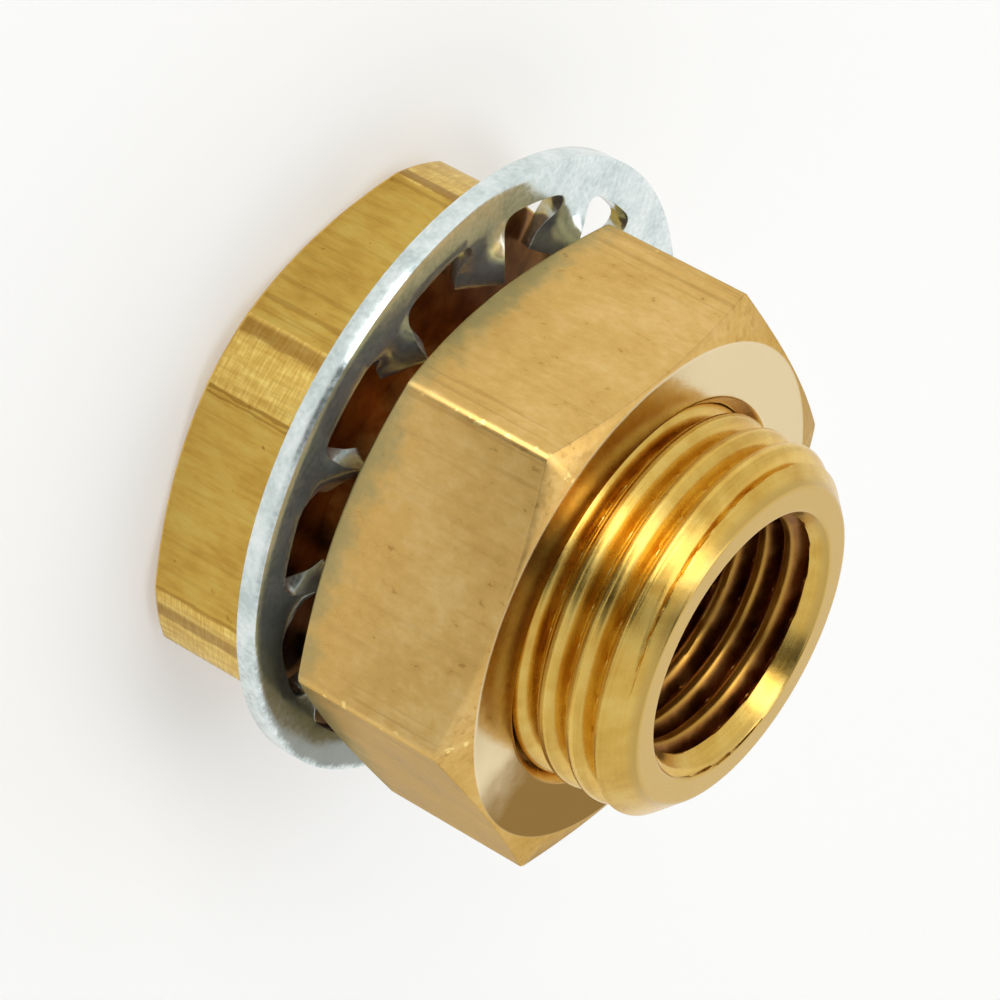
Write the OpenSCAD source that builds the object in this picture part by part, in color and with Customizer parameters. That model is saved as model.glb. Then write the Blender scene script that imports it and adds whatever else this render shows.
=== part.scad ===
// Bulkhead tank connector: a turned brass fitting with a hexagon head, a threaded
// shank and a female port at each end, with its toothed lock washer and its
// hexagon nut. It stands on the back of its head, with the shank up along +Z.

/* [Fitting] */
// Length from the back of the head to the end of the shank
overall_length = 24.4; // [22:0.1:40]
// Thickness of the hexagon head
head_height = 6; // [4:0.1:7]
// Width of the head across its flats
head_across_flats = 26; // [24.5:0.1:27]
// Diameter that the head's corners are turned down to
head_corner_d = 28.2; // [27:0.1:29]
// Diameter of the flat circle left by the chamfer on the back of the head
head_back_d = 24.9; // [22:0.1:25.5]
// Angle of that chamfer from the back face
head_back_angle = 25; // [15:1:30]
// Width of the floor of the relief groove turned behind the thread
relief_width = 1.2; // [0.6:0.1:1.8]
// Depth of that groove below the roots of the thread
relief_depth = 0.04; // [0.02:0.01:0.4]
// Chamfer on the end of the shank, measured along the radius
shank_chamfer = 1.37; // [0.5:0.01:1.8]

/* [Mounting thread] */
// Outside diameter of the thread on the shank
thread_d = 19.05; // [18:0.05:20]
// Distance from one crest to the next
thread_pitch = 1.5875; // [1.25:0.0125:2]
// Depth of the shank's thread, as a share of the pitch
thread_depth_share = 0.605; // [0.5:0.005:0.7]
// Depth of the nut's thread, as a share of the pitch
nut_depth_share = 0.43; // [0.4:0.01:0.55]
// Angle between the two flanks of a groove
thread_angle = 60; // [50:1:65]
// Share of the pitch that is flat along a crest
crest_share = 0.125; // [0.05:0.005:0.2]
// Distance from the end of the shank to the first crest, on the +X side
thread_lead_in = 0.96; // [0:0.02:1.5]

/* [Ports] */
// Wall diameter of the female port in the shank's end
shank_port_d = 11.9; // [11.5:0.1:12.6]
// Depth of the shank's port from the end of the shank
shank_port_depth = 10; // [5:0.1:11]
// Wall diameter of the female port in the head
head_port_d = 11.9; // [11.5:0.1:12.6]
// Depth of the head's port from the back of the head
head_port_depth = 10; // [5:0.1:11]
// Diameter of the countersunk mouth of each port
port_mouth_d = 13.84; // [13:0.02:15]
// Angle of the mouth's wall from the axis
port_mouth_angle = 40; // [30:1:50]
// Diameter of the drilled passage between the two ports
passage_d = 11.1; // [8:0.1:11.4]

/* [Hexagon nut] */
// Width of the nut across its flats
nut_across_flats = 26; // [24:0.1:28]
// Thickness of the nut
nut_height = 9.5; // [6:0.1:10]
// Diameter of the flat circle on the nut's outer face
nut_face_d = 25.54; // [22:0.02:25.9]
// Angle of the chamfer around the nut's outer face
nut_face_angle = 18; // [10:1:30]
// Diameter of the flat circle on the nut's inner face
nut_back_d = 25.6; // [22:0.1:25.9]
// Angle of the chamfer around the nut's inner face
nut_back_angle = 23; // [10:1:30]
// How far the nut's countersunk mouths reach beyond the thread, on the radius
nut_mouth_reach = 0.525; // [0.3:0.025:1.2]
// Turn of the nut's hexagon against the head's
nut_turn = -9.3; // [-30:0.1:30]
// Free height left between the nut and the washer's teeth
nut_gap = 0.8; // [0.5:0.05:4]

/* [Lock washer] */
// Outside diameter of the washer
washer_d = 32.3; // [31:0.1:36]
// Thickness of the sheet
washer_thickness = 1.1; // [0.6:0.05:1.6]
// Width of the washer's closed rim
washer_rim = 1.9; // [1.2:0.05:2.4]
// Number of teeth
tooth_count = 12; // [8:1:14]
// Width of a tooth beyond its root
tooth_root_width = 1.9; // [1:0.05:2.2]
// Width of a tooth at its tip
tooth_tip_width = 2.4; // [1:0.05:2.8]
// Angle that each tooth is twisted by
tooth_twist = 38; // [15:1:50]
// Radius of the corners between teeth and rim
tooth_fillet = 1.1; // [0.4:0.05:1.2]
// How far the washer lies off the fitting's axis
washer_offset = 1.28; // [0:0.02:1.34]
// Direction that the washer lies off the axis
washer_offset_angle = 153.6; // [-180:0.1:180]
// Turn of the first tooth
washer_turn = 18.9; // [0:0.1:30]

/* [Clearances] */
// Running clearance between the two threads, on the radius
thread_clearance = 0.075; // [0.05:0.005:0.1]
// Clearance between the tips of the teeth and the thread, on the radius
tooth_clearance = 1.475; // [1.4:0.025:2]
// Height that the washer's teeth stay clear of the head
seat_clearance = 0.05; // [0.02:0.01:0.3]

/* [Hidden] */

$fn = 128;

// Number of straight steps in one turn of the thread
thread_steps = 40;
// Turns of thread made beyond each end of a threaded bar, to be trimmed away
spare_turns = 2;

// A cutter runs this much past the face that it opens
overrun = 1;
// The teeth run this far into the rim that carries them
tooth_rooting = 0.4;
// Share of a tooth's length over which it twists
twist_share = 0.75;
// Number of steps along a tooth's rounded root, and along the rest of it
fillet_steps = 5;
twist_steps = 8;

brass_head_colour = "#C4A552";
brass_nut_colour = "#CDA866";
zinc_colour = "#C9D2D6";

function tan_drop(outer_d, inner_d, angle) = (outer_d - inner_d) / 2 * tan(angle);
function hexagon_corner_d(across_flats) = across_flats / cos(30);

thread_r = thread_d / 2;
thread_root_r = thread_r - thread_depth_share * thread_pitch;
relief_r = thread_root_r - relief_depth;
crest_z = overall_length - thread_lead_in;
nut_root_r = thread_r + thread_clearance;
nut_crest_r = thread_r - nut_depth_share * thread_pitch;
nut_mouth_r = thread_r + nut_mouth_reach;

tooth_tip_r = thread_r + tooth_clearance;
tooth_root_r = washer_d / 2 - washer_rim;
tooth_length = tooth_root_r - tooth_tip_r;
tooth_fillet_r = min(tooth_fillet, tooth_length / 3);
tooth_half_height = tooth_tip_width / 2 * sin(tooth_twist) + washer_thickness / 2 * cos(tooth_twist);
washer_mid_z = head_height + seat_clearance + tooth_half_height;
washer_top_z = washer_mid_z + tooth_half_height;
nut_z = washer_top_z + nut_gap;

// Hexagonal bar standing on its end, with two corners on the X axis
module hexagon_bar(across_flats, height) {
    cylinder(d = hexagon_corner_d(across_flats), h = height, $fn = 6);
}

// Turned envelope of a hexagon, with a cone at its bottom and one at its top.
// A face diameter as wide as the envelope leaves that end square.
module turned_envelope(outer_d, height, bottom_d, bottom_angle, top_d, top_angle) {
    bottom_drop = tan_drop(outer_d, bottom_d, bottom_angle);
    top_drop = tan_drop(outer_d, top_d, top_angle);
    rotate_extrude()
        polygon([
            [0, 0],
            [bottom_d / 2, 0],
            [outer_d / 2, bottom_drop],
            [outer_d / 2, height - top_drop],
            [top_d / 2, height],
            [0, height]
        ]);
}

// Countersunk blind port along +Z with its mouth at z = 0, to be cut away
module port_cut(wall_d, depth) {
    mouth_depth = (port_mouth_d - wall_d) / 2 / tan(port_mouth_angle);
    rotate_extrude()
        polygon([
            [0, overrun],
            [port_mouth_d / 2, overrun],
            [port_mouth_d / 2, 0],
            [wall_d / 2, -mouth_depth],
            [wall_d / 2, -depth],
            [0, -depth]
        ]);
}

// Head with its corners turned down and its back face chamfered
module head() {
    intersection() {
        hexagon_bar(head_across_flats, head_height);
        turned_envelope(head_corner_d, head_height, head_back_d, head_back_angle, head_corner_d, 0);
    }
}

// Bar about the Z axis with a right-hand screw thread cut along it, which runs past
// both heights and is rough at its ends, to be trimmed. Four strands of points follow
// the thread: the two edges of the crest, then the two edges of the root.
module threaded_bar(crest_r, root_r, bottom, top) {
    flank = (crest_r - root_r) * tan(thread_angle / 2) / thread_pitch;
    strands = [
        [crest_r, -crest_share / 2],
        [crest_r, crest_share / 2],
        [root_r, crest_share / 2 + flank],
        [root_r, 1 - crest_share / 2 - flank]
    ];
    last = len(strands) - 1;
    first_turn = floor((bottom - crest_z) / thread_pitch) - spare_turns;
    turns = ceil((top - bottom) / thread_pitch) + 2 * spare_turns;
    steps = turns * thread_steps;

    function height(strand, step) =
        crest_z + thread_pitch * (first_turn + strands[strand][1] + step / thread_steps);
    function place(strand, step) =
        let (r = strands[strand][0], a = 360 * step / thread_steps)
        [r * cos(a), r * sin(a), height(strand, step)];
    function id(strand, step) = strand * (steps + 1) + step;
    function strip(low, low_step, high, high_step) = [
        [id(low, low_step), id(high, high_step), id(high, high_step + 1)],
        [id(low, low_step), id(high, high_step + 1), id(low, low_step + 1)]
    ];
    function fan(centre, loop) = [
        for (i = [0 : len(loop) - 1]) [centre, loop[i], loop[(i + 1) % len(loop)]]
    ];

    points = [for (strand = [0 : last], step = [0 : steps]) place(strand, step)];
    centres = [[0, 0, height(0, 0)], [0, 0, height(last, steps)]];
    ridge = [for (strand = [0 : last - 1], step = [0 : steps - 1]) each strip(strand, step, strand + 1, step)];
    next_turn = [for (step = [0 : steps - thread_steps - 1]) each strip(last, step, 0, step + thread_steps)];
    bottom_loop = concat(
        [for (step = [0 : thread_steps]) id(0, step)],
        [for (strand = [last : -1 : 1]) id(strand, 0)]
    );
    top_loop = concat(
        [for (step = [steps : -1 : steps - thread_steps]) id(last, step)],
        [for (strand = [0 : last - 1]) id(strand, steps)]
    );
    polyhedron(
        points = concat(points, centres),
        faces = concat(ridge, next_turn, fan(len(points), bottom_loop), fan(len(points) + 1, top_loop))
    );
}

// Shank with its thread, the relief groove behind the thread and the chamfer on its end
module shank() {
    relief_top = head_height + relief_width;
    outer_r = thread_r + overrun;
    intersection() {
        threaded_bar(thread_r, thread_root_r, head_height, overall_length);
        rotate_extrude()
            polygon([
                [0, head_height - overrun],
                [relief_r, head_height - overrun],
                [relief_r, relief_top],
                [outer_r, relief_top + outer_r - relief_r],
                [outer_r, overall_length + thread_r - shank_chamfer - outer_r],
                [thread_r - shank_chamfer, overall_length],
                [0, overall_length]
            ]);
    }
}

module fitting_body() {
    color(brass_head_colour)
        difference() {
            union() {
                head();
                shank();
            }
            translate([0, 0, overall_length])
                port_cut(shank_port_d, shank_port_depth);
            rotate([180, 0, 0])
                port_cut(head_port_d, head_port_depth);
            cylinder(d = passage_d, h = overall_length);
        }
}

// Countersink of one mouth of the nut, with the mouth at z = 0, to be cut away below it
module nut_mouth() {
    tip_r = nut_crest_r - overrun;
    rotate_extrude()
        polygon([
            [0, overrun],
            [nut_mouth_r + overrun, overrun],
            [tip_r, tip_r - nut_mouth_r],
            [0, tip_r - nut_mouth_r]
        ]);
}

// The nut's thread lies in the shank's own thread, wherever the nut stands and is turned to
module hex_nut() {
    corner_d = hexagon_corner_d(nut_across_flats);
    color(brass_nut_colour)
        difference() {
            translate([0, 0, nut_z])
                rotate([0, 0, nut_turn])
                    intersection() {
                        hexagon_bar(nut_across_flats, nut_height);
                        turned_envelope(corner_d, nut_height, nut_back_d, nut_back_angle,
                            nut_face_d, nut_face_angle);
                    }
            threaded_bar(nut_root_r, nut_crest_r, nut_z, nut_z + nut_height);
            translate([0, 0, nut_z + nut_height])
                nut_mouth();
            translate([0, 0, nut_z])
                mirror([0, 0, 1])
                    nut_mouth();
        }
}

// Distances from the root circle, inwards along a tooth, at which its section is set
tooth_stations = concat(
    [-tooth_rooting],
    [for (i = [0 : fillet_steps - 1]) tooth_fillet_r * (1 - cos(90 * i / fillet_steps))],
    [for (i = [0 : twist_steps]) tooth_fillet_r + (tooth_length - tooth_fillet_r) * i / twist_steps]
);

// Twist reached at a distance along the tooth: it starts and ends smoothly
function twist_blend(q) = q <= 0 ? 0 : q >= 1 ? 1 : q * q * (3 - 2 * q);
function twist_at(s) = -tooth_twist * twist_blend(s / (tooth_length * twist_share));

// Width of the tooth there, with the rounded corners that lead into the rim
function fillet_flare(s) = s >= tooth_fillet_r ? 0
    : tooth_fillet_r - sqrt(pow(tooth_fillet_r, 2) - pow(tooth_fillet_r - max(s, 0), 2));
function width_at(s) = tooth_root_width
    + (tooth_tip_width - tooth_root_width) * max(s, 0) / tooth_length
    + 2 * fillet_flare(s);

// The section's four corners, turned about the tooth's own line
corner_signs = [[-1, -1], [1, -1], [1, 1], [-1, 1]];
function tooth_section(s) = [
    for (c = corner_signs)
        let (
            y = c[0] * width_at(s) / 2,
            z = c[1] * washer_thickness / 2,
            a = twist_at(s)
        )
        [tooth_root_r - s, y * cos(a) - z * sin(a), y * sin(a) + z * cos(a)]
];

// One twisted tooth that points from the rim towards the axis
module tooth() {
    last = len(tooth_stations) - 1;
    points = [for (s = tooth_stations) each tooth_section(s)];
    sides = [
        for (i = [0 : last - 1], j = [0 : 3])
            let (k = (j + 1) % 4)
            each [
                [4 * i + j, 4 * i + k, 4 * (i + 1) + k],
                [4 * i + j, 4 * (i + 1) + k, 4 * (i + 1) + j]
            ]
    ];
    ends = [
        [0, 3, 2],
        [0, 2, 1],
        [4 * last, 4 * last + 1, 4 * last + 2],
        [4 * last, 4 * last + 2, 4 * last + 3]
    ];
    polyhedron(points = points, faces = concat(sides, ends));
}

module lock_washer() {
    color(zinc_colour)
        rotate([0, 0, washer_offset_angle])
            translate([washer_offset, 0, washer_mid_z])
                rotate([0, 0, washer_turn - washer_offset_angle])
                    union() {
                        translate([0, 0, -washer_thickness / 2])
                            linear_extrude(height = washer_thickness)
                                difference() {
                                    circle(d = washer_d);
                                    circle(r = tooth_root_r);
                                }
                        for (i = [0 : tooth_count - 1])
                            rotate([0, 0, i * 360 / tooth_count])
                                tooth();
                    }
}

fitting_body();
lock_washer();
hex_nut();
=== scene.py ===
"""Bulkhead tank connector: brass fitting with hexagon head, toothed lock washer and hexagon nut."""

import math

import bmesh
import bpy
import numpy as np
from mathutils import Matrix, Vector


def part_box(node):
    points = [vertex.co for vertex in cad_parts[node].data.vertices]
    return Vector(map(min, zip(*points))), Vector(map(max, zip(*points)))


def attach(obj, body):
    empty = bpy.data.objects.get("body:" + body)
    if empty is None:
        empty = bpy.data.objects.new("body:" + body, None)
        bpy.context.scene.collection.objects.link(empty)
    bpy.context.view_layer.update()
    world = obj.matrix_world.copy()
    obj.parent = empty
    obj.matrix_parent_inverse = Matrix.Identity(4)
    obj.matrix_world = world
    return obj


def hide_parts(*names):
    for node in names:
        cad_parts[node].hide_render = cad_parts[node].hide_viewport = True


bl_info = {
    "name": "Tank Connector",
    "version": (1, 0, 0),
    "blender": (4, 5, 0),
    "location": "View3D > Sidebar > Tank Connector",
    "description": "Builds a brass bulkhead connector, its lock washer, its nut and a studio",
    "category": "Add Mesh",
}

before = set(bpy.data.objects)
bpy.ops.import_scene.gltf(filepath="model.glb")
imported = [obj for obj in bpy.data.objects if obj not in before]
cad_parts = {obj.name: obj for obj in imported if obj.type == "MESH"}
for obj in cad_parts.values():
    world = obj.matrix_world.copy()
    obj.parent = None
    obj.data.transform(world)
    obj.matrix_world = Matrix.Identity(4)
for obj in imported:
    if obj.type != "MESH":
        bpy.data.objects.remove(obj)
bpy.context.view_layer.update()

MM = 0.001
TURN = 2 * math.pi

NUT_LOW, NUT_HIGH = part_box("hex_nut")
WASHER_LOW, WASHER_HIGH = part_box("lock_washer")
BODY_LOW, BODY_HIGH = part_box("fitting_body")


# ---------------------------------------------------------------- colours and nodes


def linear(hex_value):
    """A colour written as sRGB hex, as the linear values that a socket takes."""
    values = [int(hex_value[i:i + 2], 16) / 255 for i in (1, 3, 5)]
    return (*(v / 12.92 if v <= 0.04045 else ((v + 0.055) / 1.055) ** 2.4 for v in values), 1.0)


def add_node(tree, kind, settings=None, inputs=None):
    """Adds one node: its own settings, and for each input a value or another node's socket."""
    node = tree.nodes.new(kind)
    for name, value in (settings or {}).items():
        setattr(node, name, value)
    for key, value in (inputs or {}).items():
        if isinstance(value, bpy.types.NodeSocket):
            tree.links.new(value, node.inputs[key])
        else:
            node.inputs[key].default_value = value
    return node


def colour_ramp(tree, factor, stops):
    """The colour of a ramp with (place, colour) stops, driven by a socket."""
    node = add_node(tree, "ShaderNodeValToRGB", inputs={"Fac": factor})
    ramp = node.color_ramp
    while len(ramp.elements) < len(stops):
        ramp.elements.new(0.5)
    for element, (place, colour) in zip(ramp.elements, stops):
        element.position = place
        element.color = colour
    return node.outputs["Color"]


def grey(value):
    return (value, value, value, 1.0)


# ---------------------------------------------------------------- materials


def new_material(name):
    material = bpy.data.materials.new(name)
    material.use_nodes = True
    tree = material.node_tree
    shader = tree.nodes["Principled BSDF"]
    place = add_node(tree, "ShaderNodeTexCoord").outputs["Object"]
    return material, tree, shader, place


def maths(tree, operation, *parts):
    """One Math node; each part is a number or another node's socket."""
    node = add_node(tree, "ShaderNodeMath", {"operation": operation}, dict(enumerate(parts)))
    return node.outputs["Value"]


def plus(tree, first, second):
    return maths(tree, "ADD", first, second)


def minus(tree, first, second):
    return maths(tree, "SUBTRACT", first, second)


def times(tree, first, second):
    return maths(tree, "MULTIPLY", first, second)


def blended(tree, first, second, share):
    """Two patterns in one, of which the second has the given share."""
    return plus(tree, times(tree, first, 1 - share), times(tree, second, share))


def away_from(tree, angle, degrees):
    """How far an angle lies from a fixed one, on either side."""
    return maths(tree, "ABSOLUTE", minus(tree, angle, math.radians(degrees)))


def fade(tree, value, start, end, low=0.0, high=1.0):
    """Goes smoothly from low to high as a value goes from start to end."""
    return add_node(
        tree, "ShaderNodeMapRange", {"interpolation_type": "SMOOTHSTEP"},
        {"Value": value, "From Min": start, "From Max": end, "To Min": low, "To Max": high},
    ).outputs["Result"]


def mixed(tree, factor, first, second):
    """Two colours mixed by a factor."""
    return add_node(
        tree, "ShaderNodeMix", {"data_type": "RGBA"}, {"Factor": factor, "A": first, "B": second},
    ).outputs["Result"]


def noise(tree, place, spacing, stretch=1.0, detail=3.0, roughness=0.55):
    """Noise with features of one spacing in metres, drawn out along Z by a factor."""
    across = 1.0 / spacing
    mapping = add_node(tree, "ShaderNodeMapping", inputs={
        "Vector": place, "Scale": (across, across, across / stretch),
    })
    return add_node(tree, "ShaderNodeTexNoise", inputs={
        "Vector": mapping.outputs["Vector"], "Scale": 1.0, "Detail": detail, "Roughness": roughness,
    }).outputs["Fac"]


def round_place(tree, place):
    """Angle about the Z axis, distance from it and height of a point."""
    split = add_node(tree, "ShaderNodeSeparateXYZ", inputs={"Vector": place}).outputs
    angle = maths(tree, "ARCTAN2", split["Y"], split["X"])
    squares = [times(tree, split[axis], split[axis]) for axis in "XY"]
    return angle, maths(tree, "SQRT", plus(tree, *squares)), split["Z"]


def colour_of(tree, hex_value):
    """A socket that gives one colour."""
    node = add_node(tree, "ShaderNodeRGB")
    node.outputs["Color"].default_value = linear(hex_value)
    return node.outputs["Color"]


def three_tones(tree, factor, colours, low=0.36, high=0.64):
    """Dark, middle and light tones of one finish, spread over a noise's usual range."""
    places = (low, (low + high) / 2, high)
    return colour_ramp(tree, factor, [(p, linear(c)) for p, c in zip(places, colours)])


def finish_metal(tree, shader, colour, roughness, heights):
    """Links a metal's colour and roughness, and its relief: pairs of a height and its depth."""
    shader.inputs["Metallic"].default_value = 1.0
    tree.links.new(colour, shader.inputs["Base Color"])
    tree.links.new(roughness, shader.inputs["Roughness"])
    normal = None
    for height, depth in heights:
        relief = {"Height": height, "Strength": 1.0, "Distance": depth}
        if normal:
            relief["Normal"] = normal
        normal = add_node(tree, "ShaderNodeBump", inputs=relief).outputs["Normal"]
    tree.links.new(normal, shader.inputs["Normal"])


# painted dark bands along the head beside its corners, standing for dark reflections: angle about
# the axis, half width, strength
PAINTED_DARK_BANDS = (
    (-174.2, 1.5, 0.9), (-171.2, 0.5, 0.5), (-125.3, 1.7, 0.95), (-132.6, 0.7, 0.5),
    (-138.0, 0.6, 0.35), (-112.0, 0.35, 0.8), (-110.9, 0.3, 0.7), (-62.0, 1.8, 0.8),
    (-67.6, 0.4, 0.6), (-49.5, 0.5, 0.4), (5.8, 1.5, 0.9), (-6.9, 0.4, 0.6),
    (13.0, 0.6, 0.4), (54.6, 1.7, 0.9), (47.5, 0.8, 0.4), (68.2, 0.35, 0.7),
    (114.5, 1.4, 0.85), (108.0, 0.6, 0.4), (127.4, 0.4, 0.6), (165.5, 0.6, 0.4),
)


def drawn_brass(name, look, corner_r):
    """Drawn hexagon bar of the head: olive gold, mottled brown, with fine streaks and painted dark
    reflections in bands beside the corners, and corners turned bright with a fine hatch
    across them."""
    material, tree, shader, place = new_material(name)
    angle, radius, height = round_place(tree, place)
    clouds = noise(tree, place, 1.9 * MM, 1.5, 5.0, 0.6)
    grain = noise(tree, place, 0.3 * MM, 5.0, 3.0, 0.6)
    tone = blended(tree, clouds, grain, 0.4)
    drawn = three_tones(tree, tone, (look.head_dark, look.head_mid, look.head_light), 0.32, 0.68)
    # a few brown specks
    specks = fade(tree, noise(tree, place, 0.6 * MM, 1.0, 2.0), 0.3, 0.23, 0.0, 0.6)
    drawn = mixed(tree, specks, drawn, colour_of(tree, look.speck))
    # the corners are turned to a circle: brighter, with a fine hatch across them
    turned = fade(tree, radius, corner_r - 0.06 * MM, corner_r - 0.01 * MM)
    ring_place = add_node(tree, "ShaderNodeCombineXYZ", inputs={
        "X": height, "Y": times(tree, angle, 1.5 * MM),
    }).outputs["Vector"]
    rings = noise(tree, ring_place, 0.12 * MM, 1.0, 2.0)
    hatch = blended(tree, rings, grain, 0.5)
    bright = three_tones(tree, hatch, (look.corner_dark, look.corner_mid, look.corner_light))
    colour = mixed(tree, turned, drawn, bright)
    # fine streaks everywhere along the bar, and painted dark reflections in bands beside the
    # corners
    streaks = noise(tree, place, 0.42 * MM, 60.0, 3.0, 0.7)
    dark = fade(tree, streaks, 0.5, 0.7, 0.0, 0.3)
    wander = times(tree, minus(tree, grain, 0.5), math.radians(1.4))
    wandering = plus(tree, angle, wander)
    for middle, half_width, strength in PAINTED_DARK_BANDS:
        off = away_from(tree, wandering, middle)
        inner, outer = math.radians(half_width * 0.6), math.radians(half_width * 1.3)
        dark = maths(tree, "MAXIMUM", dark, fade(tree, off, inner, outer, strength, 0.0))
    colour = mixed(tree, times(tree, dark, 0.7), colour, colour_of(tree, look.head_streak_and_painted_band))
    finish_metal(
        tree, shader, colour, fade(tree, tone, 0.35, 0.65, 0.3, 0.4),
        [(streaks, 0.006 * MM), (clouds, 0.03 * MM), (rings, 0.002 * MM)],
    )
    return material


def turned_brass(name, look, roughness, end_z):
    """Free-cutting brass straight from the lathe: warm, with fine tool rings and soft bright
    reflections. The faced end is paler."""
    material, tree, shader, place = new_material(name)
    _, radius, height = round_place(tree, place)
    ring_place = add_node(tree, "ShaderNodeCombineXYZ", inputs={
        "X": plus(tree, radius, height), "Y": radius, "Z": height,
    }).outputs["Vector"]
    rings = noise(tree, ring_place, 0.2 * MM, 1.0, 2.0, 0.6)
    clouds = noise(tree, place, 1.6 * MM, 1.0, 4.0)
    tone = blended(tree, clouds, rings, 0.25)
    base = three_tones(tree, tone, (look.turned_dark, look.turned_mid, look.turned_light))
    faced = fade(tree, height, end_z - 0.5 * MM, end_z - 0.05 * MM)
    base = mixed(tree, faced, base, colour_of(tree, look.end_face))
    finish_metal(
        tree, shader, base, fade(tree, tone, 0.35, 0.65, roughness - 0.03, roughness + 0.04),
        [(rings, 0.0015 * MM), (clouds, 0.012 * MM)],
    )
    return material


def brass_with_painted_shade(name, look, bore_r, taper, mouth_z, middle_z):
    """Brass left as it was cut, where it doesn't show: browned with painted shade, which is lighter
    on the crests of the pipe threads."""
    material, tree, shader, place = new_material(name)
    _, radius, height = round_place(tree, place)
    clouds = noise(tree, place, 1.4 * MM, 1.0, 4.0)
    # brown painted shade, in clouds
    base = three_tones(tree, clouds, (look.recess_shade_dark, look.recess_shade_mid, look.recess_shade_light))
    from_middle = maths(tree, "ABSOLUTE", minus(tree, height, middle_z))
    below_mouth = minus(tree, mouth_z - middle_z, from_middle)
    crest = minus(tree, bore_r, times(tree, below_mouth, taper))
    above = minus(tree, radius, crest)
    # the painted shade is kept lighter on the crests of the pipe threads
    brightened = fade(tree, above, 0.02 * MM, 0.2 * MM, 0.65, 0.0)
    base = mixed(tree, brightened, base, colour_of(tree, look.turned_dark))
    roughness = fade(tree, clouds, 0.35, 0.65, 0.3, 0.42)
    finish_metal(tree, shader, base, roughness, [(clouds, 0.01 * MM)])
    return material


# painted shade on the nut's face: direction from the axis, where it starts and stops fading,
# strength
FACE_PAINTED_SHADE = ((-13, 24, 42, 0.95), (-117, 20, 60, 0.6))


def tumbled_brass(name, look, turn, back_z, face_z):
    """Nut tumbled until its flats are satin: pale tan, mottled brown and olive, with corners
    rubbed and nicked bright, and greyer and darker towards the edge beside the washer. The face
    is paler, partly its faced brass and partly painted sheen, with brown painted shade over
    parts of it."""
    material, tree, shader, place = new_material(name)
    angle, _, height = round_place(tree, place)
    from_corner = maths(tree, "PINGPONG", minus(tree, angle, turn), math.pi / 6)
    clouds = noise(tree, place, 3.2 * MM, 1.3, 4.0)
    mottle = noise(tree, place, 0.5 * MM, 1.6, 4.0, 0.65)
    tone = blended(tree, clouds, mottle, 0.5)
    base = three_tones(tree, tone, (look.nut_dark, look.nut_mid, look.nut_light), 0.34, 0.66)
    streaks = noise(tree, place, 0.5 * MM, 30.0, 3.0, 0.65)
    near_corner = fade(tree, from_corner, math.radians(2), math.radians(13), 0.4, 0.12)
    lines = times(tree, fade(tree, streaks, 0.5, 0.68), near_corner)
    specks = fade(tree, noise(tree, place, 0.5 * MM, 1.6, 2.0), 0.33, 0.24, 0.0, 0.55)
    base = mixed(tree, maths(tree, "MAXIMUM", lines, specks), base, colour_of(tree, look.nut_speck))
    # greyer and darker towards the edge beside the washer
    blots = noise(tree, place, 1.1 * MM, 1.0, 3.0, 0.6)
    reach = plus(tree, height, times(tree, plus(tree, blots, clouds), -3.2 * MM))
    back_edge_share = fade(tree, reach, back_z - 2.9 * MM, back_z - 1.0 * MM, 0.75, 0.0)
    base = mixed(tree, back_edge_share, base, colour_of(tree, look.nut_stain))
    # rubbed corners, with a few nicks
    nicks = fade(tree, noise(tree, place, 0.5 * MM, 1.0, 1.0), 0.62, 0.68, 0.12, 1.0)
    on_corner = fade(tree, from_corner, math.radians(0.5), math.radians(1.2), 1.0, 0.0)
    brightened = times(tree, nicks, on_corner)
    base = mixed(tree, brightened, base, colour_of(tree, look.nut_corner))
    # the face is paler: partly its faced brass, partly painted sheen
    faced = fade(tree, height, face_z - 0.04 * MM, face_z - 0.01 * MM)
    base = mixed(tree, faced, base, colour_of(tree, look.nut_face))
    # brown painted shade spread over parts of the face
    wandering = plus(tree, angle, times(tree, minus(tree, clouds, 0.5), 0.35))
    for middle, inner, outer, strength in FACE_PAINTED_SHADE:
        off = away_from(tree, wandering, middle)
        spread = fade(tree, off, math.radians(inner), math.radians(outer), strength, 0.0)
        base = mixed(tree, times(tree, spread, faced), base, colour_of(tree, look.face_painted_shade))
    satin = fade(tree, tone, 0.35, 0.65, 0.27, 0.36)
    roughness = minus(tree, satin, times(tree, faced, 0.13))
    finish_metal(tree, shader, base, roughness, [(mottle, 0.006 * MM), (clouds, 0.03 * MM)])
    shader.inputs["Specular Tint"].default_value = linear(look.edge_tint)
    return material


PAINTED_SHADE_SIDE = -20  # direction in degrees of the washer's side with painted shade


def zinc_plate(name, look, roughness, centre, painted_shade_r):
    """Bright zinc over stamped spring steel: blue-white, faintly speckled, with keen reflections,
    and darkened by painted shade on the inner part of one side."""
    material, tree, shader, place = new_material(name)
    clouds = noise(tree, place, 1.8 * MM, 1.0, 3.0)
    grain = noise(tree, place, 0.3 * MM, 1.0, 2.0)
    tone = blended(tree, clouds, grain, 0.4)
    base = three_tones(tree, tone, (look.zinc_dark, look.zinc_mid, look.zinc_light))
    centred = add_node(tree, "ShaderNodeMapping", inputs={"Vector": place, "Location": -centre})
    angle, radius, _ = round_place(tree, centred.outputs["Vector"])
    # painted shade over the inner part of one side of the washer
    reach = plus(tree, radius, times(tree, tone, 0.8 * MM))
    inner = fade(tree, reach, painted_shade_r + 0.3 * MM, painted_shade_r + 0.7 * MM, 1.0, 0.0)
    beside = away_from(tree, angle, PAINTED_SHADE_SIDE)
    side = fade(tree, beside, math.radians(34), math.radians(62), 0.8, 0.0)
    washer_painted_shade = times(tree, inner, side)
    base = mixed(tree, washer_painted_shade, base, colour_of(tree, look.zinc_dull))
    finish_metal(
        tree, shader, base, fade(tree, grain, 0.35, 0.65, roughness - 0.04, roughness + 0.05),
        [(grain, 0.002 * MM), (clouds, 0.012 * MM)],
    )
    shader.inputs["Metallic"].default_value = 0.87
    return material


# ---------------------------------------------------------------- turned shapes


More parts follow.
